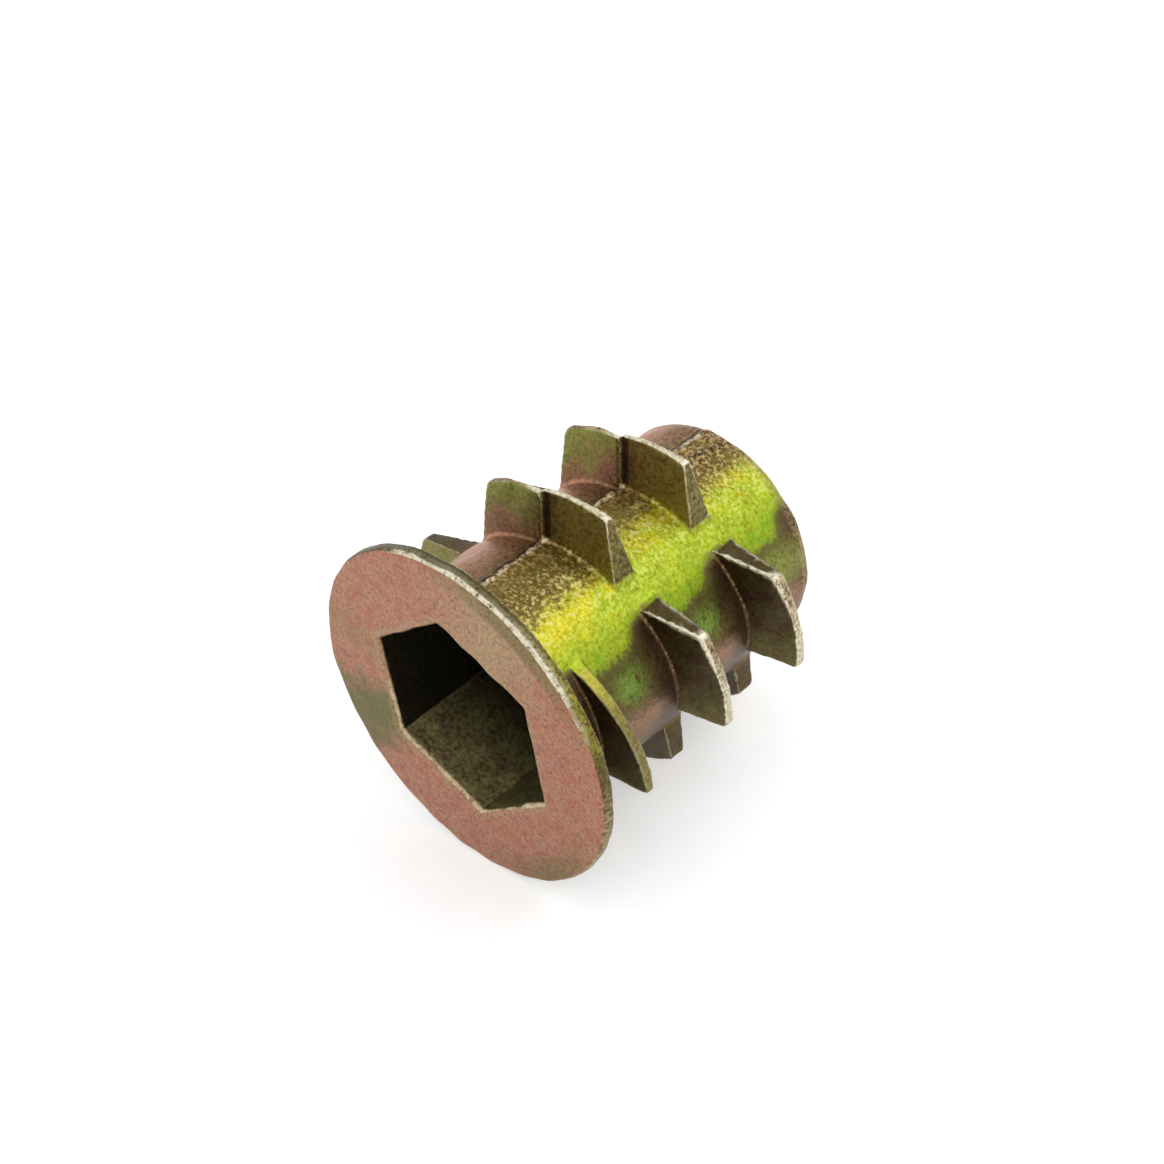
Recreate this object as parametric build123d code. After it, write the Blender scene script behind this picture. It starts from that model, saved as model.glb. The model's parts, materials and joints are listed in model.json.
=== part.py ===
from build123d import *
from math import floor, pi, radians, sqrt, tan
import os

# A one-piece die-cast insert nut: hex drive, thin flange, barrel, and a coarse wood thread that
# the die breaks up into separate wings. Lengths are in millimetres.
# The part lies on its side. +Y runs along its axis from the flange to the nose, +Z points up
# along the plane where the halves of the die met, and the origin is under the part's middle.

# Flange and barrel
overall_length = 15.4
flange_diameter = 15.0
flange_rim_thickness = 0.55
flange_root_thickness = 0.85
flange_edge_radius = 0.22
flange_fillet_radius = 0.4
barrel_diameter_at_flange = 10.4
barrel_diameter_at_nose = 10.0
nose_edge_radius = 0.35

# Machine thread, whose bore is drawn at the minor diameter, and the hex drive in front of it.
# The key is as wide across its flats as the screw is thick, so that the screw goes in through the hex.
machine_thread_diameter = 8.0
machine_thread_depth = 0.675
machine_thread_exit_chamfer = 0.6
hex_depth = 6.5
hex_turn_angle = -3.0
hex_mouth_chamfer = 0.12

# Wood thread: a right-hand helix of wings, four to a turn
wood_thread_pitch = 4.45
wood_thread_diameter = 14.7
first_wing_place = 2.75
bare_nose_length = 2.4
wings_per_turn = 4
wing_root_thickness = 0.83
wing_crest_thickness = 0.42
top_wing_crest_thickness = 0.2
run_out_root_thickness = 0.55
run_out_edge_radius = 5.4
run_out_slope_share = 0.4

# How far a wing reaches to each side of the middle of its quarter, measured at the barrel, and how
# that side leans in towards the crest. The right tips of the bottom wings get lower towards the
# nose, where they would have lost the taper share of their height.
top_wing_reach = 3.1
side_wing_upper_reach = 3.05
side_wing_lower_reach = 2.0
bottom_wing_reach = 3.75
wing_draft_angle = 8.0
side_wing_lower_draft_angle = 1.0
bottom_wing_right_draft_angle = -3.0
bottom_wing_taper_share = 0.6
right_corner_radius = 0.3
left_corner_radius = 0.5

# Trimming the flash along the parting plane takes this much off the flange's rim and the crests
# of the top and bottom wings, and leaves narrow flats that the part lies on
trim_depth = 0.05

# Cuts run this far past the faces they open
overrun = 1.0

flange_radius = flange_diameter / 2
barrel_radius = barrel_diameter_at_flange / 2
nose_radius = barrel_diameter_at_nose / 2
crest_radius = wood_thread_diameter / 2
bore_radius = machine_thread_diameter / 2 - machine_thread_depth
flat_crest_height = crest_radius - trim_depth
round_crest_height = crest_radius + overrun
helix_slope = wood_thread_pitch / (pi * barrel_diameter_at_flange)
wing_thicknesses = (wing_root_thickness, wing_crest_thickness)
wing_spacing = wood_thread_pitch / wings_per_turn
wing_count = 1 + floor((overall_length - bare_nose_length - first_wing_place) / wing_spacing)


def corner_near(sketch, place):
    """The corner of a flat outline that lies nearest to a place."""
    return sketch.vertices().sort_by_distance(place)[0]


def flange_and_barrel():
    """The solid of revolution, standing on the flange's front face with the axis along Z."""
    front_edge = (flange_radius, 0, 0)
    back_edge = (flange_radius, 0, flange_rim_thickness)
    hollow = (barrel_radius, 0, flange_root_thickness)
    nose_edge = (nose_radius, 0, overall_length)
    axis_points = [(0, 0, overall_length), (0, 0, 0)]
    section = make_face(Polyline(front_edge, back_edge, hollow, nose_edge, *axis_points, close=True))
    roundings = [
        (front_edge, flange_edge_radius),
        (hollow, flange_fillet_radius),
        (nose_edge, nose_edge_radius),
    ]
    for place, radius in roundings:
        section = fillet(corner_near(section, place), radius)
    trimmed_height = 2 * (flange_radius - trim_depth)
    return revolve(section, Axis.Z) & Box(flange_diameter, trimmed_height, 2 * overall_length)


def half_width(side, distance):
    """How far one side of a wing is from its middle line, at a distance from the axis."""
    reach, draft_angle = side
    return reach - (distance - barrel_radius) * tan(radians(draft_angle))


def half_outline(side, corner_radius, height):
    """One half of a wing seen along the axis, pointing along X and lying on the +Y side.

    A height under the crest's radius leaves a flat in the middle of the crest.
    """
    sides = make_face(Polyline(
        (0, 0),
        (height, 0),
        (height, half_width(side, height)),
        (0, half_width(side, 0)),
        close=True,
    ))
    tip = (crest_radius, half_width(side, crest_radius))
    outline = sides & Circle(crest_radius)
    return fillet(corner_near(outline, tip), corner_radius)


def wing_outline(start_half, end_half):
    """A whole wing seen along the axis, with the thread running towards +Y."""
    return mirror(start_half, Plane.XZ) + end_half


def run_out_outline(start_side, end_side):
    """The first wing seen along the axis: its edge rises from the barrel to the crest."""
    start_width = half_width(start_side, barrel_radius)
    end_tip_width = half_width(end_side, crest_radius)
    start = (sqrt(barrel_radius**2 - start_width**2), -start_width)
    end = (sqrt(crest_radius**2 - end_tip_width**2), end_tip_width)
    edge = RadiusArc(start, end, -run_out_edge_radius)
    inside = Polyline(end, (0, half_width(end_side, 0)), (0, -start_width), start)
    return make_face(Curve() + [edge, inside])


def wing(outline, thicknesses, slopes, start_drop=0, end_rise=0):
    """A wing of tapered section, cut to its outline and centred on the height zero.

    Thicknesses are those at the barrel and at the crest, slopes those of the start and end half.
    """
    root_thickness, crest_thickness = thicknesses
    start_slope, end_slope = slopes

    def half_thickness(distance):
        height_share = (distance - barrel_radius) / (crest_radius - barrel_radius)
        return (root_thickness + (crest_thickness - root_thickness) * height_share) / 2

    far = crest_radius + overrun
    section = make_face(Polyline(
        (0, 0, -half_thickness(0)),
        (far, 0, -half_thickness(far)),
        (far, 0, half_thickness(far)),
        (0, 0, half_thickness(0)),
        close=True,
    ))
    start_half = extrude(section, crest_radius, dir=(0, -1, -start_slope))
    end_half = extrude(section, crest_radius, dir=(0, 1, end_slope))
    plate = Pos(0, 0, -start_drop) * start_half + Pos(0, 0, end_rise) * end_half
    return plate & extrude(outline, wood_thread_pitch, both=True)


def bottom_right_outline(place):
    """The right half of a bottom wing: its crest slopes up from the flat to a lower tip."""
    full_taper = bottom_wing_taper_share * (crest_radius - barrel_radius)
    tip_radius = crest_radius - full_taper * place / overall_length
    tip_height = sqrt(tip_radius**2 - bottom_wing_reach**2)
    flat_half_width = sqrt(crest_radius**2 - flat_crest_height**2)
    side = (bottom_wing_reach, bottom_wing_right_draft_angle)
    tip = (tip_height, half_width(side, tip_height))
    outline = make_face(Polyline(
        (0, 0),
        (flat_crest_height, 0),
        (flat_crest_height, flat_half_width),
        tip,
        (0, half_width(side, 0)),
        close=True,
    ))
    return fillet(corner_near(outline, tip), right_corner_radius)


def bottom_wing(place):
    """A bottom wing, whose right half follows the helix and whose left half is square to the axis."""
    left_side = (bottom_wing_reach, wing_draft_angle)
    left_half = half_outline(left_side, left_corner_radius, flat_crest_height)
    outline = wing_outline(bottom_right_outline(place), left_half)
    rise = helix_slope * bottom_wing_reach / 2
    return wing(outline, wing_thicknesses, (helix_slope, 0), end_rise=rise)


def wood_thread():
    """All wings, each a quarter of a turn and a quarter of the pitch after the one before.

    The die's parting plane runs through the top and bottom wings. The left half of them is square
    to the axis, at the helix's mean height, which leaves a step.
    """
    top_side = (top_wing_reach, wing_draft_angle)
    upper_side = (side_wing_upper_reach, wing_draft_angle)
    lower_side = (side_wing_lower_reach, side_wing_lower_draft_angle)
    top_outline = wing_outline(
        half_outline(top_side, left_corner_radius, flat_crest_height),
        half_outline(top_side, right_corner_radius, flat_crest_height),
    )
    right_outline = wing_outline(
        half_outline(upper_side, right_corner_radius, round_crest_height),
        half_outline(lower_side, right_corner_radius, round_crest_height),
    )
    left_outline = wing_outline(
        half_outline(lower_side, left_corner_radius, round_crest_height),
        half_outline(upper_side, left_corner_radius, round_crest_height),
    )
    top_drop = helix_slope * top_wing_reach / 2
    top_thicknesses = (wing_root_thickness, top_wing_crest_thickness)
    top = wing(top_outline, top_thicknesses, (0, helix_slope), start_drop=top_drop)
    right = wing(right_outline, wing_thicknesses, (helix_slope, helix_slope))
    left = wing(left_outline, wing_thicknesses, (helix_slope, helix_slope))
    run_out_slope = run_out_slope_share * helix_slope
    run_out_thicknesses = (run_out_root_thickness, wing_crest_thickness)
    run_out_shape = run_out_outline(upper_side, lower_side)
    run_out = wing(run_out_shape, run_out_thicknesses, (run_out_slope, run_out_slope))
    quarter_turn = 360 / wings_per_turn
    wings = []
    for number in range(wing_count):
        place = first_wing_place + number * wing_spacing
        quarters = [right, bottom_wing(place), left, top]
        shape = quarters[number % wings_per_turn] if number else run_out
        wings.append(Pos(0, 0, place) * Rot(0, 0, number * quarter_turn) * shape)
    return wings


def hex_drive():
    """The hex socket with its eased mouth and the cone that leads into the machine thread."""
    inner_radius = machine_thread_diameter / 2
    corner_radius = machine_thread_diameter / sqrt(3)
    hexagon = RegularPolygon(corner_radius, 6, rotation=90 + hex_turn_angle)
    socket = Pos(0, 0, -overrun) * extrude(hexagon, hex_depth + overrun)
    mouth_height = hex_mouth_chamfer + overrun
    wide = offset(hexagon, mouth_height, kind=Kind.INTERSECTION)
    mouth = loft([Pos(0, 0, -overrun) * wide, Pos(0, 0, hex_mouth_chamfer) * hexagon])
    lead_in_middle = hex_depth + machine_thread_depth / 2
    lead_in = Pos(0, 0, lead_in_middle) * Cone(inner_radius, bore_radius, machine_thread_depth)
    return [socket, mouth, lead_in]


def machine_thread_bore():
    """The plain bore at the thread's minor diameter and its chamfer at the nose."""
    bore_length = overall_length - hex_depth + overrun
    bore = Pos(0, 0, hex_depth + bore_length / 2) * Cylinder(bore_radius, bore_length)
    exit_height = machine_thread_exit_chamfer + overrun
    exit_cone = Cone(bore_radius, bore_radius + exit_height, exit_height)
    exit_middle = overall_length - machine_thread_exit_chamfer + exit_height / 2
    return [bore, Pos(0, 0, exit_middle) * exit_cone]


def insert_body():
    """The whole casting, laid on its side with the flat on the flange's rim on the ground."""
    standing = flange_and_barrel() + wood_thread()
    standing -= hex_drive() + machine_thread_bore()
    lying = Rot(-90, 0, 0) * standing
    return Pos(0, -overall_length / 2, flange_radius - trim_depth) * lying


os.makedirs("parts", exist_ok=True)
export_step(insert_body(), "parts/insert_body.step")
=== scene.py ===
import json
from math import cos, radians, sin
from typing import NamedTuple

import bpy
import numpy as np
from mathutils import Matrix, Vector


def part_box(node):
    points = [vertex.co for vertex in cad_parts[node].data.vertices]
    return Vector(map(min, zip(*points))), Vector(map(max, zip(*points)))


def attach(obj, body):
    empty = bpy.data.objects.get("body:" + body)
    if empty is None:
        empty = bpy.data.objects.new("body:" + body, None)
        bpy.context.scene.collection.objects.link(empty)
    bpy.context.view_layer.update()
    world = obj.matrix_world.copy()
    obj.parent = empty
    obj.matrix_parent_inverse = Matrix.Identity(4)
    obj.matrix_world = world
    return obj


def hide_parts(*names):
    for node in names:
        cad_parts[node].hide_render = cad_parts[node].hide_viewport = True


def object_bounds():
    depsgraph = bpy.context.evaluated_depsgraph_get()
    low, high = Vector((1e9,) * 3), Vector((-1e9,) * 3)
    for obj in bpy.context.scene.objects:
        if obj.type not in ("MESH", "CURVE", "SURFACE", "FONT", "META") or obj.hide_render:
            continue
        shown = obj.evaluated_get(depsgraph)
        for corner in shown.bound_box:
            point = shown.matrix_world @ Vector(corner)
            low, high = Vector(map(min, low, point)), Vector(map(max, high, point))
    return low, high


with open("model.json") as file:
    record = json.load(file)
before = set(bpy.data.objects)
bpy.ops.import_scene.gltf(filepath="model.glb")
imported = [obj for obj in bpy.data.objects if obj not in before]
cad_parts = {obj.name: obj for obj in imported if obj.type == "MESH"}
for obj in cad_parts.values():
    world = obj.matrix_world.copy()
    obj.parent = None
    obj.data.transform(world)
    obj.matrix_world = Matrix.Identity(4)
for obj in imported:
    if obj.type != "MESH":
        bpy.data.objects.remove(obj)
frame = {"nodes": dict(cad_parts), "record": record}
cad_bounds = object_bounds()


class Span(NamedTuple):
    """Goes smoothly from 0 at its start to 1 at its end, which may be the lower of the two."""
    start: float
    end: float


class Spot(NamedTuple):
    """Is 1 at its centre and 0 past its reach, and falls all the way or only over a soft edge."""
    centre: float
    reach: float
    soft_edge: float = 0.0


# The part's own measures. Lengths are in millimetres, and "along" counts from the flange's face to
# the nose. Angles are in degrees from the seam on top, and grow towards the right.
MM = 0.001
box_low, box_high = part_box("insert_body")
thread = next(mount for mount in frame["record"]["mounts"] if mount["name"] == "machine_thread")
flange_centre = Vector((thread["pos_m"][0], box_low.y, thread["pos_m"][2]))
part_length = (box_high.y - box_low.y) / MM
flange_radius = (box_high.x - box_low.x) / 2 / MM
bore_radius = thread["dims"]["r_mm"]
bore_length = thread["dims"]["length_mm"]
bore_middle = (thread["pos_m"][1] - box_low.y) / MM
bore_start = bore_middle - bore_length / 2
FULL_TURN = 360.0
HALF_TURN = 180.0
FLANGE_THICKNESS = 0.95
BARREL_RADIUS = 5.2
NOSE_RADIUS = 5.0
barrel_taper = (BARREL_RADIUS - NOSE_RADIUS) / part_length
WOOD_THREAD_PITCH = 4.45
FIRST_WING_PLACE = 2.75
FIRST_WING_ANGLE = 90.0
HEX_FLATS = (27.0, 87.0, 147.0)
HEX_CORNER = 4.62

# Machine thread in the bore
THREAD_PITCH = 1.25
THREAD_DEPTH = 0.6
THREAD_ROOT_SHARE = 0.12
THREAD_CREST_SHARE = 0.8
THREAD_FADE = 0.7
BORE_WALL_BAND = 0.05

# Seam on top of the barrel: a ragged flash, a step to its left, and a torn stretch near the nose
FLASH_HEIGHT = 0.09
FLASH_WIDTH = 0.16
FLASH_PLACE = 0.08
FLASH_START = Span(FLANGE_THICKNESS, 1.4)
FLASH_RAGGEDNESS = 0.6
FLASH_WAVELENGTH = 0.7
FLASH_WANDER = 0.06
FLASH_WANDER_WAVELENGTH = 1.1
SEAM_STEP = 0.04
SEAM_STEP_EDGE = Span(0.05, -0.05)
SEAM_STEP_FADE = 1.0
TORN_FLASH = 0.04
TORN_WAVELENGTH = 0.6
TORN_LIMITS = (-0.5, 1.5)
TORN_ALONG = Span(12.4, 13.2)
TORN_LEFT_EDGE = Span(-0.1, 0.2)
TORN_RIGHT_EDGE = Span(1.8, 1.2)
BARREL_BAND = 0.4

# Uneven mouth of the hex, and the waviness of the whole casting
MOUTH_RAGGEDNESS = 0.01
MOUTH_WAVELENGTH = 1.2
MOUTH_DEPTH = Span(0.5, 0.2)
MOUTH_BAND = Span(0.9, 0.7)
BROKEN_EDGE_TURN = 147.0
BROKEN_EDGE_REACH = Span(34.0, 24.0)
BROKEN_EDGE_RAGGEDNESS = 0.035
CAST_WAVE = 0.012
CAST_WAVELENGTH = 1.4

# Mesh
VOXEL = 0.065
SMOOTHING_FACTOR = 0.5
SMOOTHING_ROUNDS = 5
TRIANGLES = 190000

# Floor and light, in metres and watts
FLOOR_SIZE = 4.0
FLOOR_TOOTH_SCALE = 900.0
FLOOR_DARK = (0.82, 0.82, 0.82, 1.0)
FLOOR_LIGHT = (0.86, 0.86, 0.86, 1.0)
FLOOR_GLOW = 0.42
WORLD_COLOUR = (1.0, 1.0, 1.0, 1.0)
WORLD_STRENGTH = 0.88
KEY_PLACE = (0.10, 0.08, 0.16)
KEY_SIZE = 0.09
KEY_POWER = 0.06

# Camera, in millimetres and degrees: where it looks, from where, and how it is held
CAMERA_AIM = (-0.869, 0.387, 8.675)
CAMERA_DISTANCE = 79.92
CAMERA_AZIMUTH = 47.76
CAMERA_ELEVATION = 36.42
CAMERA_ROLL = 8.04
CAMERA_LENS = 61.3
CAMERA_CLIP_START = 5.0


# Shape of the casting

def part_coordinates(points):
    """Distance from the axis in mm, angle from the top towards the right in radians, and place along."""
    x, along, z = ((points - np.array(flange_centre)) / MM).T
    return np.hypot(x, z), np.arctan2(x, z), along


def waves(points, wavelength, seed, count=20):
    """Smooth seeded noise of about unit size: a sum of plane waves."""
    random = np.random.default_rng(seed)
    directions = random.normal(size=(count, 3))
    directions *= 2 * np.pi / wavelength / np.linalg.norm(directions, axis=1, keepdims=True)
    phases = random.uniform(0, 2 * np.pi, count)
    return np.sin(points / MM @ directions.T + phases).sum(axis=1) * np.sqrt(2 / count)


def ramp(values, start, end):
    """0 before the start, 1 past the end, smooth in between; the end may be the lower one."""
    share = np.clip((values - start) / (end - start), 0, 1)
    return share * share * (3 - 2 * share)


def mesh_after(mesh, name, kind, **settings):
    """A new mesh: the given one with a single modifier applied."""
    holder = bpy.data.objects.new(name, mesh)
    bpy.context.collection.objects.link(holder)
    modifier = holder.modifiers.new(kind, kind)
    for key, value in settings.items():
        setattr(modifier, key, value)
    changed = bpy.data.meshes.new_from_object(
        holder.evaluated_get(bpy.context.evaluated_depsgraph_get()))
    bpy.data.objects.remove(holder)
    bpy.data.meshes.remove(mesh)
    changed.name = name
    return changed


def vertex_array(mesh, values="co"):
    array = np.empty(len(mesh.vertices) * 3)
    mesh.vertices.foreach_get(values, array)
    return array.reshape(-1, 3)


def set_vertices(mesh, points):
    mesh.vertices.foreach_set("co", points.ravel())
    mesh.update()


def thread_cut(radius, angle, along):
    """How far the machine thread's groove goes into the bore's wall."""
    phase = (along / THREAD_PITCH - angle / (2 * np.pi)) % 1
    from_crest = np.abs(phase - 0.5) * 2
    groove = np.clip((from_crest - THREAD_ROOT_SHARE) / (THREAD_CREST_SHARE - THREAD_ROOT_SHARE), 0, 1)
    fade = ramp(bore_length / 2 - np.abs(along - bore_middle), 0, THREAD_FADE)
    on_wall = np.abs(radius - bore_radius) < BORE_WALL_BAND
    return np.where(on_wall, THREAD_DEPTH * groove * fade, 0)


def flash_height(points, radius, angle, along):
    """The thin ragged seam on the barrel where the die's halves met, with a step to its left."""
    across = np.sin(angle) * radius
    ragged = np.clip(FLASH_RAGGEDNESS * (1 + waves(points, FLASH_WAVELENGTH, seed=3)), 0, None)
    from_seam = across - FLASH_PLACE - FLASH_WANDER * waves(points, FLASH_WANDER_WAVELENGTH, seed=9)
    seam = FLASH_HEIGHT * np.exp(-(from_seam / FLASH_WIDTH) ** 2) * ragged
    step = SEAM_STEP * ramp(across, *SEAM_STEP_EDGE) * np.exp(np.clip(across, None, 0) / SEAM_STEP_FADE)
    torn = ramp(along, *TORN_ALONG) * ramp(across, *TORN_LEFT_EDGE) * ramp(across, *TORN_RIGHT_EDGE)
    lumps = TORN_FLASH * torn * np.clip(waves(points, TORN_WAVELENGTH, seed=11), *TORN_LIMITS)
    on_barrel = (np.abs(radius - BARREL_RADIUS) < BARREL_BAND) * ramp(along, *FLASH_START)
    on_top = np.cos(angle) > 0
    return on_barrel * on_top * (seam - step + lumps)


def mouth_wear(points, radius, angle, along):
    """The hex's mouth is a little uneven, most of all along one broken edge."""
    near_mouth = ramp(along, *MOUTH_DEPTH) * ramp(np.abs(radius - HEX_CORNER), *MOUTH_BAND)
    from_broken = np.abs(np.degrees(angle) - BROKEN_EDGE_TURN)
    raggedness = MOUTH_RAGGEDNESS + BROKEN_EDGE_RAGGEDNESS * ramp(from_broken, *BROKEN_EDGE_REACH)
    return near_mouth * raggedness * waves(points, MOUTH_WAVELENGTH, seed=5)


def shape_casting(mesh):
    """Adds the machine thread, the seam, the uneven hex edge and the casting's slight waviness."""
    points = vertex_array(mesh)
    normals = vertex_array(mesh, "normal")
    radius, angle, along = part_coordinates(points)
    outward = points - np.array(flange_centre)
    outward[:, 1] = 0
    outward /= np.linalg.norm(outward, axis=1, keepdims=True)
    outward_move = (thread_cut(radius, angle, along) + flash_height(points, radius, angle, along)
                    + mouth_wear(points, radius, angle, along))
    wave = CAST_WAVE * waves(points, CAST_WAVELENGTH, seed=7)
    points += MM * (outward * outward_move[:, None] + normals * wave[:, None])
    set_vertices(mesh, points)


def store_edges(mesh, before):
    """Keeps how far the smoothing took each vertex inwards: large on edges, negative in corners."""
    after = vertex_array(mesh)
    moved = ((before - after) * vertex_array(mesh, "normal")).sum(axis=1) / MM
    edge = mesh.attributes.new("edge", "FLOAT", "POINT")
    edge.data.foreach_set("value", moved)


def build_casting():
    """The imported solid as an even, finely divided mesh with its cast detail."""
    source = frame["nodes"]["insert_body"]
    mesh = source.data.copy()
    voxel = VOXEL * MM
    mesh = mesh_after(mesh, "insert_casting", "REMESH", mode="VOXEL", voxel_size=voxel)
    shape_casting(mesh)
    before = vertex_array(mesh)
    mesh = mesh_after(
        mesh, "insert_casting", "SMOOTH", factor=SMOOTHING_FACTOR, iterations=SMOOTHING_ROUNDS)
    store_edges(mesh, before)
    share = min(1, TRIANGLES / (2 * len(mesh.polygons)))
    mesh = mesh_after(mesh, "insert_casting", "DECIMATE", ratio=share, use_collapse_triangulate=True)
    low = np.array(cad_bounds[0])
    high = np.array(cad_bounds[1])
    set_vertices(mesh, np.clip(vertex_array(mesh), low, high))
    mesh.shade_smooth()
    casting = bpy.data.objects.new("insert_casting", mesh)
    bpy.context.collection.objects.link(casting)
    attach(casting, "root")
    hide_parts("insert_body")
    return casting


# Nodes. A mix node has sockets of the same name for each type of value, so the ones for colours
# go by number.
MIX_SHARE = 0
MIX_FIRST = 6
MIX_SECOND = 7
MIX_RESULT = 2


class Graph:
    """The nodes of a material or of the world, written as plain sums."""

    def __init__(self, owner):
        owner.use_nodes = True
        self.tree = owner.node_tree
        self.tree.nodes.clear()

    def node(self, kind, inputs=(), **settings):
        made = self.tree.nodes.new(kind)
        for key, value in settings.items():
            setattr(made, key, value)
        for key, value in dict(inputs).items():
            if isinstance(value, bpy.types.NodeSocket):
                self.tree.links.new(value, made.inputs[key])
            else:
                made.inputs[key].default_value = value
        return made

    def math(self, operation, *values):
        return self.node("ShaderNodeMath", enumerate(values), operation=operation).outputs[0]

    def vector(self, operation, *values):
        return self.node("ShaderNodeVectorMath", enumerate(values), operation=operation).outputs[0]

    def chain(self, operation, values):
        """One operation over any number of values."""
        made, *others = values
        for value in others:
            made = self.math(operation, made, value)
        return made

    def total(self, *values):
        return self.chain("ADD", values)

    def product(self, *values):
        return self.chain("MULTIPLY", values)

    def highest(self, *values):
        return self.chain("MAXIMUM", values)

    def difference(self, value, less):
        return self.math("SUBTRACT", value, less)

    def between(self, value, start, end):
        """The mask of a Span."""
        inputs = {"Value": value, "From Min": start, "From Max": end}
        made = self.node("ShaderNodeMapRange", inputs, interpolation_type="SMOOTHSTEP")
        return made.outputs["Result"]

    def near(self, value, centre, reach, soft_edge):
        """The mask of a Spot."""
        away = self.math("ABSOLUTE", self.difference(value, centre))
        return self.between(away, reach, reach - soft_edge if soft_edge else 0.0)

    def noise(self, vector, scale, detail=2.0, roughness=0.5):
        inputs = {"Vector": vector, "Scale": scale, "Detail": detail, "Roughness": roughness}
        return self.node("ShaderNodeTexNoise", inputs).outputs["Fac"]

    def drift(self, noise, amount):
        """A noise that swings about zero, by half the amount each way at most."""
        return self.product(self.difference(noise, 0.5), amount)

    def mix(self, share, first, second, blend="MIX"):
        inputs = {MIX_SHARE: share, MIX_FIRST: first, MIX_SECOND: second}
        made = self.node("ShaderNodeMix", inputs, data_type="RGBA", blend_type=blend)
        return made.outputs[MIX_RESULT]

    def colours(self, value, stops):
        made = self.node("ShaderNodeValToRGB", {"Fac": value})
        elements = made.color_ramp.elements
        while len(elements) < len(stops):
            elements.new(0.5)
        for element, (place, colour) in zip(elements, stops):
            element.position = place
            element.color = colour
        return made.outputs["Color"]

    def seen(self):
        """1 for what the camera sees, by itself or in a reflection, and 0 for light on other things."""
        rays = self.node("ShaderNodeLightPath").outputs
        return self.highest(rays["Is Camera Ray"], rays["Is Glossy Ray"], rays["Is Transmission Ray"])


# Coat: colours as they look on a screen, noises and finish

def linear(red, green, blue):
    """A colour as the shaders want it, from its values on a screen, 0 to 255, by the sRGB curve."""
    def channel(value):
        share = value / 255
        return share / 12.92 if share <= 0.04045 else ((share + 0.055) / 1.055) ** 2.4
    return (channel(red), channel(green), channel(blue), 1.0)


PINK = linear(208, 154, 126)
FACE_PINK = linear(196, 142, 112)
FACE_MAUVE = linear(186, 130, 113)
FACE_ROSE = linear(190, 116, 97)
TAN = linear(188, 162, 122)
OLIVE = linear(148, 136, 82)
MOSS = linear(148, 148, 72)
GREY_OLIVE = linear(124, 116, 64)
DARK_OLIVE = linear(102, 91, 47)
DARK_BROWN = linear(90, 68, 44)
UMBER = linear(118, 94, 56)
FLANK_GOLD = linear(166, 150, 78)
LIME = linear(182, 202, 48)
LEAF = linear(150, 192, 40)
YELLOW = linear(216, 208, 40)
GREEN = linear(130, 164, 64)
GOLD_BROWN = linear(142, 120, 58)
PINK_BROWN = linear(168, 126, 96)
RUN_OUT_GOLD = linear(186, 178, 70)
ROOT_TAN = linear(206, 168, 108)
STRAW = linear(222, 212, 140)
PALE_TAN = linear(232, 212, 176)
CREAM = linear(246, 240, 214)
PIT_MAUVE = linear(126, 98, 96)
SEAM_DARK = linear(62, 46, 28)
NEARLY_BLACK = linear(66, 62, 46)
GRAIN_SHADE = linear(170, 162, 147)
GRAIN_LIGHT = linear(240, 240, 240)

# Tints round the barrel, by the share of half a turn from the seam on top. Left of the seam the umber
# beside it is painted shade, the pink stretch a painted highlight and the olive past it a painted
# reflection of darker surroundings; right of it the dark olive past the bright band is painted shade.
RIGHT_OF_SEAM = [
    (0.0, GOLD_BROWN), (0.12, GOLD_BROWN), (0.2, OLIVE), (0.34, GREY_OLIVE), (0.38, DARK_OLIVE),
    (0.5, UMBER), (0.55, PINK_BROWN), (0.65, UMBER), (1.0, GOLD_BROWN)]
LEFT_OF_SEAM = [
    (0.0, UMBER), (0.08, PINK_BROWN), (0.16, PINK), (0.3, PINK), (0.42, OLIVE), (0.52, LIME),
    (0.7, OLIVE), (1.0, PINK_BROWN)]
BRIGHT_BAND = [(0.1, OLIVE), (0.18, YELLOW), (0.25, LIME), (0.33, LIME), (0.42, LEAF)]

# The bright band's edges, and how far noises push the tints, as such shares too
BAND_START_SHARE = 0.165
BAND_START_EDGE = Span(-0.05, 0.03)
MIDDLE_BAY_SHARE = 0.065
BAND_END_SHARE = 0.355
BAND_END_EDGE = Span(-0.01, 0.015)
NARROWING_SHARE = 0.06
LATER_BAYS_SHARE = 0.05
BAND_DRIFT_SHARE = 0.4
CLOUD_DRIFT_SHARE = 0.05
SPECKLE_DRIFT_SHARE = 0.1

# Tints by the value of a noise
FACE_TINTS = [(0.3, FACE_MAUVE), (0.48, FACE_PINK), (0.6, FACE_ROSE), (0.72, TAN)]
NOSE_SIDE_TINTS = [(0.36, UMBER), (0.46, PINK_BROWN), (0.56, PINK_BROWN), (0.64, OLIVE)]
GRAIN_TINTS = [(0.3, GRAIN_SHADE), (0.58, GRAIN_LIGHT)]

# Noises, whose scales count per mm, and how far they push measures, in degrees or mm
NOISES = {
    "cloud": dict(scale=0.55, detail=3.0),
    "patch": dict(scale=1.5, detail=4.0, roughness=0.6),
    "speckle": dict(scale=6.0, detail=3.0, roughness=0.65),
    "pits": dict(scale=9.0, detail=1.0),
    "grain": dict(scale=20.0),
}
FACE_WANDER = 36.0
SEAM_WANDER = 0.5
CREASE_WANDER = 1.0
HEIGHT_WANDER = 4.0

# Which way the wings stand, and where the first turn ends
TOP_WINGS = Spot(0.0, 52.0, 4.0)
RIGHT_WINGS = Spot(90.0, 45.0, 4.0)
LEFT_WINGS = Spot(-90.0, 45.0, 4.0)
FIRST_TURN = Span(4.9, 4.5)
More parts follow.
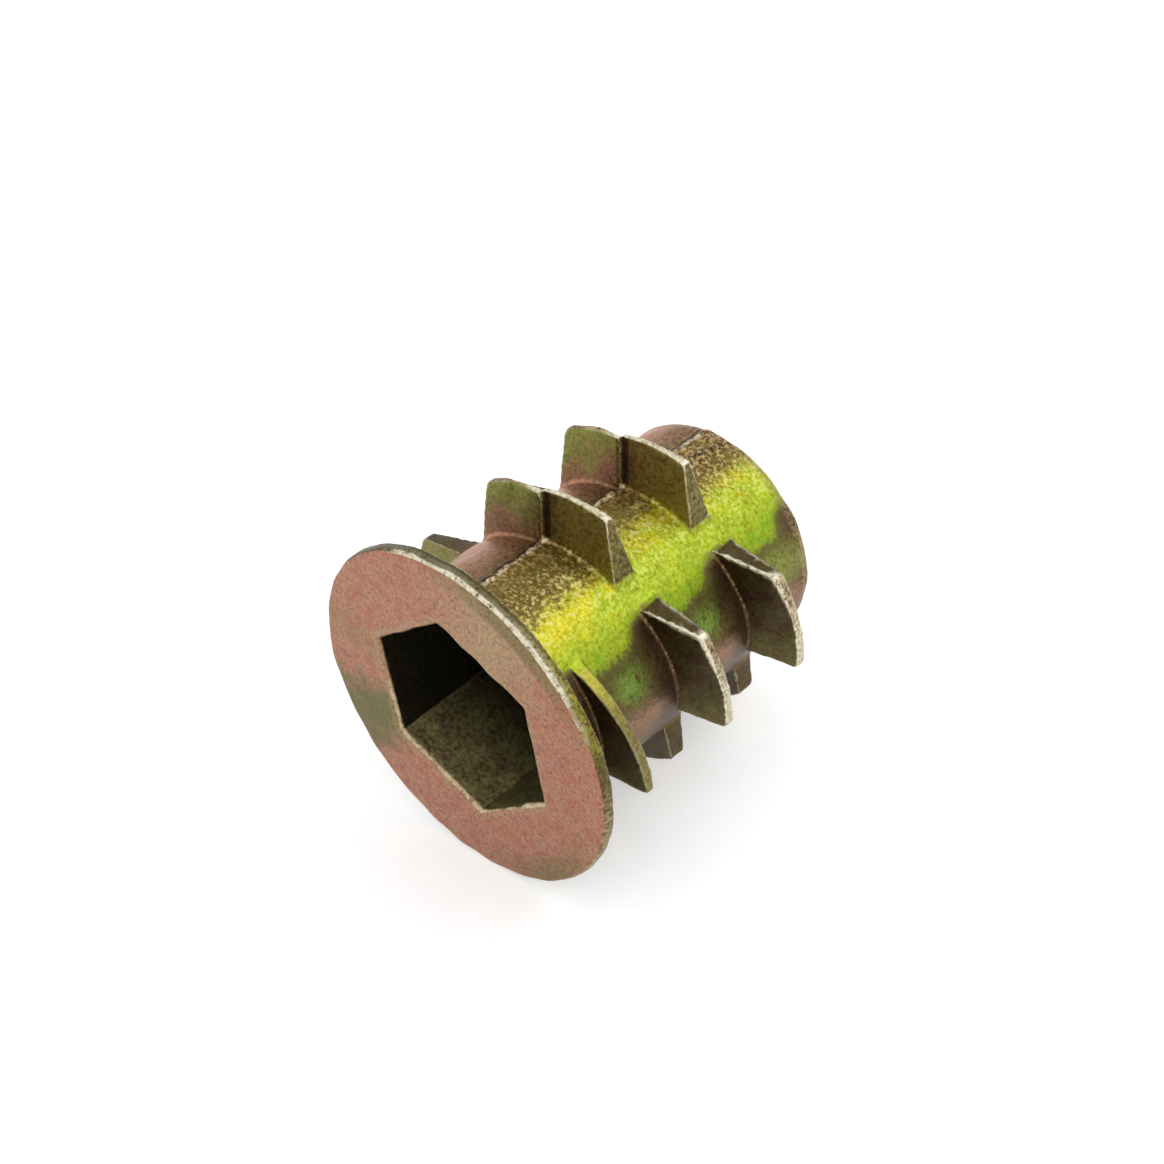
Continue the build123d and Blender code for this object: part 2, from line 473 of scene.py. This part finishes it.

# Gloss, grain, and the wear and painted highlight that every edge has
COAT_METALLIC = 0.85
LEAST_ROUGHNESS = 0.28
ROUGHNESS_RANGE = 0.3
SPECKLE_BUMP_SHARE = 0.8
GRAIN_BUMP_SHARE = 0.2
BUMP_STRENGTH = 0.5
BUMP_DEPTH = 0.04
LEAST_EDGE_WEAR_AND_HIGHLIGHT = 0.25


class Coat(Graph):
    """The coat's nodes, with what they know about a point of the casting: measures and noises."""

    def __init__(self, owner):
        super().__init__(owner)
        coordinates = self.node("ShaderNodeTexCoord").outputs
        from_centre = self.vector("SUBTRACT", coordinates["Object"], tuple(flange_centre))
        place = self.vector("MULTIPLY", from_centre, (1 / MM,) * 3)
        axes = self.node("ShaderNodeSeparateXYZ", {0: place}).outputs
        normal = self.node("ShaderNodeSeparateXYZ", {0: coordinates["Normal"]}).outputs
        self.x, self.along, self.z = axes["X"], axes["Y"], axes["Z"]
        self.normal_x, self.normal_y, self.normal_z = normal["X"], normal["Y"], normal["Z"]
        self.edge = self.node("ShaderNodeAttribute", attribute_name="edge").outputs["Fac"]
        for name, settings in NOISES.items():
            setattr(self, name, self.noise(place, **settings))
        self.measure_round_axis()
        self.measure_forms()

    def measure_round_axis(self):
        """Distance and angle, and how squarely the surface faces away from the axis."""
        squares = self.total(self.product(self.x, self.x), self.product(self.z, self.z))
        self.radius = self.math("SQRT", squares)
        self.angle = self.math("DEGREES", self.math("ARCTAN2", self.x, self.z))
        facing = self.total(self.product(self.x, self.normal_x), self.product(self.z, self.normal_z))
        self.normal_out = self.math("DIVIDE", facing, self.radius)

    def measure_forms(self):
        """Places on the barrel, seam, wings, flange and hex, some of them made ragged by a noise."""
        barrel = self.difference(BARREL_RADIUS, self.product(self.along, barrel_taper))
        self.above_barrel = self.difference(self.radius, barrel)
        self.from_parting = self.math("ABSOLUTE", self.x)
        self.from_seam = self.total(self.x, self.drift(self.patch, SEAM_WANDER))
        self.from_crease = self.total(self.x, self.drift(self.patch, CREASE_WANDER))
        self.wing_height = self.total(self.radius, self.drift(self.cloud, HEIGHT_WANDER))
        turn_share = self.math("DIVIDE", self.difference(self.angle, FIRST_WING_ANGLE), FULL_TURN)
        helix = self.total(self.product(turn_share, WOOD_THREAD_PITCH), FIRST_WING_PLACE)
        past_helix = self.difference(self.along, helix)
        self.past_wing = self.math("FLOORED_MODULO", past_helix, WOOD_THREAD_PITCH)
        self.face_angle = self.total(self.angle, self.drift(self.patch, FACE_WANDER))
        self.from_hex_axis = self.highest(*(self.flat_distance(turn) for turn in HEX_FLATS))
        self.top = self.near(self.angle, *TOP_WINGS)
        self.right = self.near(self.angle, *RIGHT_WINGS)
        self.left = self.near(self.angle, *LEFT_WINGS)
        self.first_turn = self.between(self.along, *FIRST_TURN)

    def flat_distance(self, turn):
        """Distance from the axis measured square to one pair of the hex's flats."""
        across = self.product(self.x, sin(radians(turn)))
        upwards = self.product(self.z, cos(radians(turn)))
        return self.math("ABSOLUTE", self.total(across, upwards))

    def mask(self, strength=1.0, within=None, **limits):
        """Where all limits on measures and noises hold, such as along=Span(1, 2), times a strength."""
        factors = [within] if within else []
        for measure, limit in limits.items():
            form = self.near if isinstance(limit, Spot) else self.between
            factors.append(form(getattr(self, measure), *limit))
        if strength < 1:
            factors.append(strength)
        return self.product(*factors)

    def paint(self, colour, tint, strength=1.0, within=None, **limits):
        """A colour with a tint laid over it where the limits hold."""
        return self.mix(self.mask(strength, within, **limits), colour, tint)


def seam_colour(coat, colour):
    """The ragged line on top where the die's halves met: painted shade to its left beside the step, and
    a painted highlight on its lip.
    """
    on_top = coat.mask(z=Span(0.0, 1.0))
    colour = coat.paint(
        colour, ROOT_TAN, 0.8, on_top, from_seam=Spot(0.35, 0.6), speckle=Span(0.5, 0.62))
    # Painted shade to the seam's left, beside the step
    colour = coat.paint(
        colour, SEAM_DARK, within=on_top, from_seam=Spot(-0.08, 0.16), patch=Span(0.2, 0.5))
    # A painted highlight on the seam's lip
    return coat.paint(
        colour, PALE_TAN, within=on_top, from_seam=Spot(0.12, 0.15, 0.1), speckle=Span(0.35, 0.55))


def bright_band(coat, colour, share):
    """The yellow to green band on the upper right, partly the coat's tint and partly a painted sheen
    where the barrel faces the lamp; it starts earlier in the middle bay.
    """
    middle_bay = coat.mask(MIDDLE_BAY_SHARE, along=Spot(8.6, 2.2, 0.6))
    from_start = coat.difference(share, coat.difference(BAND_START_SHARE, middle_bay))
    # The band ends sooner just in front of the right wings, where the barrel is painted in shade
    before_wings = coat.mask(NARROWING_SHARE, past_wing=Span(2.3, 3.8))
    to_end = coat.difference(coat.difference(BAND_END_SHARE, before_wings), share)
    band = coat.product(
        coat.between(from_start, *BAND_START_EDGE), coat.between(to_end, *BAND_END_EDGE),
        coat.mask(x=Span(0.0, 0.5)))
    later_bays = coat.mask(LATER_BAYS_SHARE, along=Span(4.5, 6.5))
    tint_share = coat.total(share, later_bays, coat.drift(coat.patch, BAND_DRIFT_SHARE))
    return coat.mix(band, colour, coat.colours(tint_share, BRIGHT_BAND))


def barrel_colour(coat):
    """Pinkish left of the seam, gold to its right, then the bright band, with patches, painted shade and
    painted glints over them.
    """
    share = coat.total(
        coat.math("DIVIDE", coat.math("ABSOLUTE", coat.angle), HALF_TURN),
        coat.drift(coat.cloud, CLOUD_DRIFT_SHARE), coat.drift(coat.speckle, SPECKLE_DRIFT_SHARE))
    left = coat.colours(share, LEFT_OF_SEAM)
    right = coat.colours(share, RIGHT_OF_SEAM)
    colour = coat.paint(left, right, x=Span(-0.03, 0.03))
    colour = bright_band(coat, colour, share)
    # A golden blob in the first bay, and a paler stretch in the second
    colour = coat.paint(colour, YELLOW, 0.85, angle=Spot(39.0, 12.0), along=Spot(3.0, 2.4))
    colour = coat.paint(colour, FLANK_GOLD, 0.8, angle=Spot(14.0, 14.0), along=Spot(8.0, 2.2))
    # Painted shade in front of the right wings, and green between them and past them
    colour = coat.paint(
        colour, DARK_BROWN, within=coat.right, past_wing=Span(2.6, 3.8), angle=Span(53.0, 58.0))
    colour = coat.paint(
        colour, GREEN, angle=Spot(78.0, 15.0), past_wing=Spot(1.9, 1.3), patch=Span(0.3, 0.5))
    colour = coat.paint(colour, MOSS, 0.8, angle=Spot(80.0, 18.0), along=Span(12.4, 13.0))
    # Duller against the flange, and flecked with painted glints beside the band
    colour = coat.paint(colour, TAN, 0.6, along=Span(2.2, 1.2), patch=Span(0.3, 0.6))
    colour = coat.paint(
        colour, STRAW, speckle=Span(0.5, 0.64), angle=Spot(26.0, 32.0), patch=Span(0.35, 0.55))
    # Burnt where the flash is torn, and rubbed round the nose
    burnt = coat.paint(SEAM_DARK, ROOT_TAN, speckle=Span(0.4, 0.6))
    colour = coat.paint(
        colour, burnt, angle=Spot(8.0, 18.0), along=TORN_ALONG, patch=Span(0.35, 0.5))
    nose_edge = Span(part_length - 0.7, part_length - 0.4)
    colour = coat.paint(colour, TAN, 0.5, along=nose_edge, speckle=Span(0.35, 0.55))
    return seam_colour(coat, colour)


def flank_colour(coat):
    """The wings' flanks: painted shade towards the flange, lighter on top and left where less shade is
    painted, pinkish towards the nose.
    """
    # Painted shade on the flanks that face the flange, in brown and olive
    painted_shade = coat.paint(DARK_BROWN, DARK_OLIVE, patch=Span(0.35, 0.65))
    low_tint = coat.mix(coat.patch, UMBER, MOSS)
    painted_shade = coat.paint(painted_shade, low_tint, 0.7, coat.right, angle=Span(80.0, 110.0))
    # The top wings' right halves are painted darker than their left halves, as shade, most of all by the
    # crease
    top_right = coat.paint(UMBER, FLANK_GOLD, from_crease=Span(0.0, 1.3))
    top_left = coat.paint(PINK_BROWN, MOSS, wing_height=Span(5.6, 6.8))
    top = coat.paint(top_right, top_left, x=Span(0.02, -0.02))
    # A painted shadow along the step by the crease
    top = coat.paint(top, SEAM_DARK, 0.85, x=Spot(0.14, 0.24, 0.12))
    left = coat.paint(OLIVE, MOSS, cloud=Span(0.4, 0.6))
    colour = coat.mix(coat.left, coat.mix(coat.top, painted_shade, top), left)
    nose_side = coat.colours(coat.cloud, NOSE_SIDE_TINTS)
    return coat.paint(colour, nose_side, normal_y=Span(0.2, 0.6))


def wing_colour(coat):
    """The wings: flanks, end faces and crests, which are worn and carry painted highlights in places."""
    dark_end = coat.mix(coat.patch, DARK_BROWN, DARK_OLIVE)
    top_end = coat.paint(DARK_OLIVE, OLIVE, speckle=Span(0.25, 0.75))
    end = coat.mix(coat.top, dark_end, top_end)
    colour = coat.paint(flank_colour(coat), end, normal_y=Spot(0.0, 0.55, 0.2))
    mottled = coat.paint(UMBER, TAN, speckle=Span(0.35, 0.65))
    # Worn coat and painted highlights on the crests of the top wings' right halves and on the lower
    # crests of the right wings
    worn_and_highlit = coat.paint(TAN, CREAM, grain=Span(0.3, 0.5))
    top_worn_and_highlit = coat.mask(within=coat.top, x=Span(-1.0, -0.2))
    low_worn_and_highlit = coat.mask(0.8, coat.right, angle=Span(74.0, 92.0))
    crest = coat.mix(coat.highest(top_worn_and_highlit, low_worn_and_highlit), mottled, worn_and_highlit)
    run_out = coat.paint(RUN_OUT_GOLD, OLIVE, angle=Span(60.0, 84.0))
    crest = coat.mix(coat.product(coat.right, coat.first_turn), crest, run_out)
    return coat.paint(colour, crest, normal_out=Span(0.74, 0.86))


def face_colour(coat):
    """The flange's face: pink and mauve with tan and olive patches, small pits, a pale band round the
    hex and a painted highlight on the hex mouth's lower edges.
    """
    colour = coat.colours(coat.patch, FACE_TINTS)
    colour = coat.paint(colour, TAN, 0.8, face_angle=Spot(28.0, 40.0))
    colour = coat.paint(colour, GREY_OLIVE, face_angle=Spot(-112.0, 25.0, 20.0))
    colour = coat.paint(colour, OLIVE, 0.4, face_angle=Spot(-72.0, 14.0))
    low_band = Span(flange_radius - 1.7, flange_radius - 0.5)
    colour = coat.paint(colour, GREY_OLIVE, 0.7, face_angle=Spot(145.0, 40.0), radius=low_band)
    upper_band = Span(flange_radius - 1.0, flange_radius - 0.7)
    colour = coat.paint(colour, GREY_OLIVE, 0.7, face_angle=Spot(35.0, 50.0), radius=upper_band)
    colour = coat.paint(colour, PIT_MAUVE, 0.6, pits=Span(0.62, 0.7))
    colour = coat.paint(colour, TAN, 0.45, from_hex_axis=Span(4.5, 4.2))
    # A painted highlight along the hex mouth's lower edges
    return coat.paint(
        colour, PALE_TAN, 0.8, from_hex_axis=Span(4.11, 4.06), z=Span(0.5, -1.0),
        speckle=Span(0.25, 0.45))


def flange_colour(coat):
    """The flange: its face, the rim with a painted highlight along its upper right front edge, and the
    darker back.
    """
    rim = coat.paint(DARK_OLIVE, OLIVE, z=Span(1.0, -4.0))
    rim = coat.paint(rim, RUN_OUT_GOLD, 0.7, face_angle=Spot(58.0, 30.0), speckle=Span(0.3, 0.6))
    rim = coat.paint(rim, TAN, speckle=Span(0.42, 0.62), z=Span(2.0, -3.0))
    colour = coat.paint(face_colour(coat), rim, normal_out=Span(0.6, 0.85))
    # A painted highlight along the rim's upper right front edge
    colour = coat.paint(
        colour, CREAM, face_angle=Spot(24.0, 46.0, 16.0), normal_out=Spot(0.68, 0.34, 0.1),
        along=Span(0.4, 0.3), speckle=Span(0.3, 0.42))
    back = coat.paint(DARK_OLIVE, UMBER, cloud=Span(0.4, 0.6))
    return coat.paint(colour, back, normal_y=Span(0.2, 0.6))


def bore_colour(coat):
    """Hex drive and machine thread: painted shade in the hex, deepest towards its end and on the facets
    that do not face up, and a dull coat on the thread.
    """
    bright = coat.paint(TAN, STRAW, patch=Span(0.3, 0.65))
    # Painted shade deep in the hex and on the facets that do not face up
    painted_shade = coat.highest(
        coat.mask(along=Span(0.8, 5.4)), coat.mask(normal_z=Span(0.6, 0.3)),
        coat.mask(0.6, normal_x=Span(0.1, -0.2)))
    hex_tint = coat.mix(painted_shade, bright, NEARLY_BLACK)
    thread_tint = coat.paint(UMBER, OLIVE, patch=Span(0.35, 0.65))
    return coat.paint(hex_tint, thread_tint, along=Span(bore_start, bore_middle))


def edge_wear_and_highlight(coat):
    """How far the edges are lightened by worn coat and painted highlights: most on the crests in sight
    of the top.
    """
    top = coat.mask(within=coat.top, x=Span(-1.0, -0.2), radius=Span(6.3, 6.9))
    right = coat.mask(within=coat.right, first_turn=Span(1.0, 0.0))
    most = coat.highest(top, right, LEAST_EDGE_WEAR_AND_HIGHLIGHT)
    off_crease = coat.highest(
        coat.mask(from_parting=Span(0.1, 0.35)), coat.mask(radius=Span(6.9, 7.1)))
    # A painted highlight on the front edges of the right wings' upper ends
    upper_ends = coat.mask(
        within=right, edge=Span(0.0, 0.003), angle=Span(84.0, 72.0), normal_y=Span(0.3, 0.0),
        radius=Span(5.35, 5.5))
    worn_and_highlit_edges = coat.highest(coat.mask(edge=Span(0.004, 0.011)), upper_ends)
    return coat.product(most, off_crease, worn_and_highlit_edges, coat.mask(speckle=Span(0.2, 0.42)))


def coat_colour(coat):
    """All parts of the casting, with painted highlights along the roots, edges lightened by wear and
    painted highlights, and a fine grain over them.
    """
    colour = coat.paint(barrel_colour(coat), wing_colour(coat), above_barrel=Span(0.1, 0.22))
    flange_end = Span(FLANGE_THICKNESS, FLANGE_THICKNESS - 0.15)
    colour = coat.paint(colour, flange_colour(coat), along=flange_end)
    colour = coat.paint(
        colour, bore_colour(coat), normal_out=Span(-0.3, -0.5), along=Span(0.12, 0.2))
    # Painted highlights along the concave corners, such as where the wings meet the barrel
    off_crease = coat.highest(coat.mask(radius=Span(5.6, 5.4)), coat.mask(x=Span(0.3, 0.4)))
    colour = coat.paint(colour, ROOT_TAN, 0.7, off_crease, edge=Span(-0.004, -0.014))
    colour = coat.mix(edge_wear_and_highlight(coat), colour, CREAM)
    grain = coat.colours(coat.speckle, GRAIN_TINTS)
    return coat.mix(1.0, colour, grain, blend="MULTIPLY")


def chromate():
    """Zinc under a thin yellow chromate coat, whose tint drifts with the coat's thickness."""
    material = bpy.data.materials.new("chromated_zinc")
    coat = Coat(material)
    roughness = coat.total(coat.product(coat.speckle, ROUGHNESS_RANGE), LEAST_ROUGHNESS)
    height = coat.total(
        coat.product(coat.speckle, SPECKLE_BUMP_SHARE), coat.product(coat.grain, GRAIN_BUMP_SHARE))
    bump = coat.node(
        "ShaderNodeBump", {"Strength": BUMP_STRENGTH, "Distance": BUMP_DEPTH * MM, "Height": height})
    shader = coat.node("ShaderNodeBsdfPrincipled", {
        "Base Color": coat_colour(coat),
        "Metallic": COAT_METALLIC,
        "Roughness": roughness,
        "Normal": bump.outputs["Normal"],
    })
    coat.node("ShaderNodeOutputMaterial", {"Surface": shader.outputs[0]})
    return material


# Stage, light and camera

def floor_material():
    """Matt white with a fine tooth, seen a little brighter than it is, so it meets the background."""
    material = bpy.data.materials.new("white_card")
    graph = Graph(material)
    coordinates = graph.node("ShaderNodeTexCoord").outputs["Object"]
    tooth = graph.noise(coordinates, FLOOR_TOOTH_SCALE, detail=3.0)
    colour = graph.colours(tooth, [(0.3, FLOOR_DARK), (0.7, FLOOR_LIGHT)])
    diffuse = graph.node("ShaderNodeBsdfDiffuse", {"Color": colour})
    glow = graph.node("ShaderNodeEmission", {"Strength": graph.product(graph.seen(), FLOOR_GLOW)})
    both = graph.node("ShaderNodeAddShader", {0: diffuse.outputs[0], 1: glow.outputs[0]})
    graph.node("ShaderNodeOutputMaterial", {"Surface": both.outputs[0]})
    return material


def build_stage():
    """A wide pale floor."""
    half = FLOOR_SIZE / 2
    corners = [(-half, -half, 0), (half, -half, 0), (half, half, 0), (-half, half, 0)]
    mesh = bpy.data.meshes.new("floor")
    mesh.from_pydata(corners, [], [(0, 1, 2, 3)])
    floor = bpy.data.objects.new("floor", mesh)
    floor.data.materials.append(floor_material())
    bpy.context.collection.objects.link(floor)


def build_light():
    """An even white room, which looks fully white, and one soft lamp."""
    world = bpy.data.worlds.new("soft_room")
    graph = Graph(world)
    inputs = {"Value": graph.seen(), "To Min": WORLD_STRENGTH, "To Max": 1.0}
    strength = graph.node("ShaderNodeMapRange", inputs).outputs["Result"]
    background = graph.node("ShaderNodeBackground", {"Color": WORLD_COLOUR, "Strength": strength})
    graph.node("ShaderNodeOutputWorld", {"Surface": background.outputs[0]})
    bpy.context.scene.world = world

    lamp = bpy.data.lights.new("key", "AREA")
    lamp.size = KEY_SIZE
    lamp.energy = KEY_POWER
    key = bpy.data.objects.new("key", lamp)
    key.location = KEY_PLACE
    key.rotation_euler = (-Vector(KEY_PLACE)).to_track_quat("-Z", "Y").to_euler()
    bpy.context.collection.objects.link(key)


def build_camera():
    """A camera that looks down on the flange and the right side, held a little askew."""
    azimuth, elevation, roll = map(radians, (CAMERA_AZIMUTH, CAMERA_ELEVATION, CAMERA_ROLL))
    back = Vector((sin(azimuth) * cos(elevation), -cos(azimuth) * cos(elevation), sin(elevation)))
    level_right = Vector((cos(azimuth), sin(azimuth), 0))
    level_up = back.cross(level_right)
    right = cos(roll) * level_right - sin(roll) * level_up
    up = sin(roll) * level_right + cos(roll) * level_up
    lens = bpy.data.cameras.new("camera")
    lens.lens = CAMERA_LENS
    lens.clip_start = CAMERA_CLIP_START * MM
    camera = bpy.data.objects.new("camera", lens)
    turned = Matrix((right, up, back)).transposed().to_4x4()
    camera.matrix_world = Matrix.Translation(MM * (Vector(CAMERA_AIM) + CAMERA_DISTANCE * back)) @ turned
    bpy.context.collection.objects.link(camera)
    bpy.context.scene.camera = camera


casting = build_casting()
casting.data.materials.clear()
casting.data.materials.append(chromate())
build_stage()
build_light()
build_camera()
bpy.context.scene.view_settings.view_transform = "Standard"
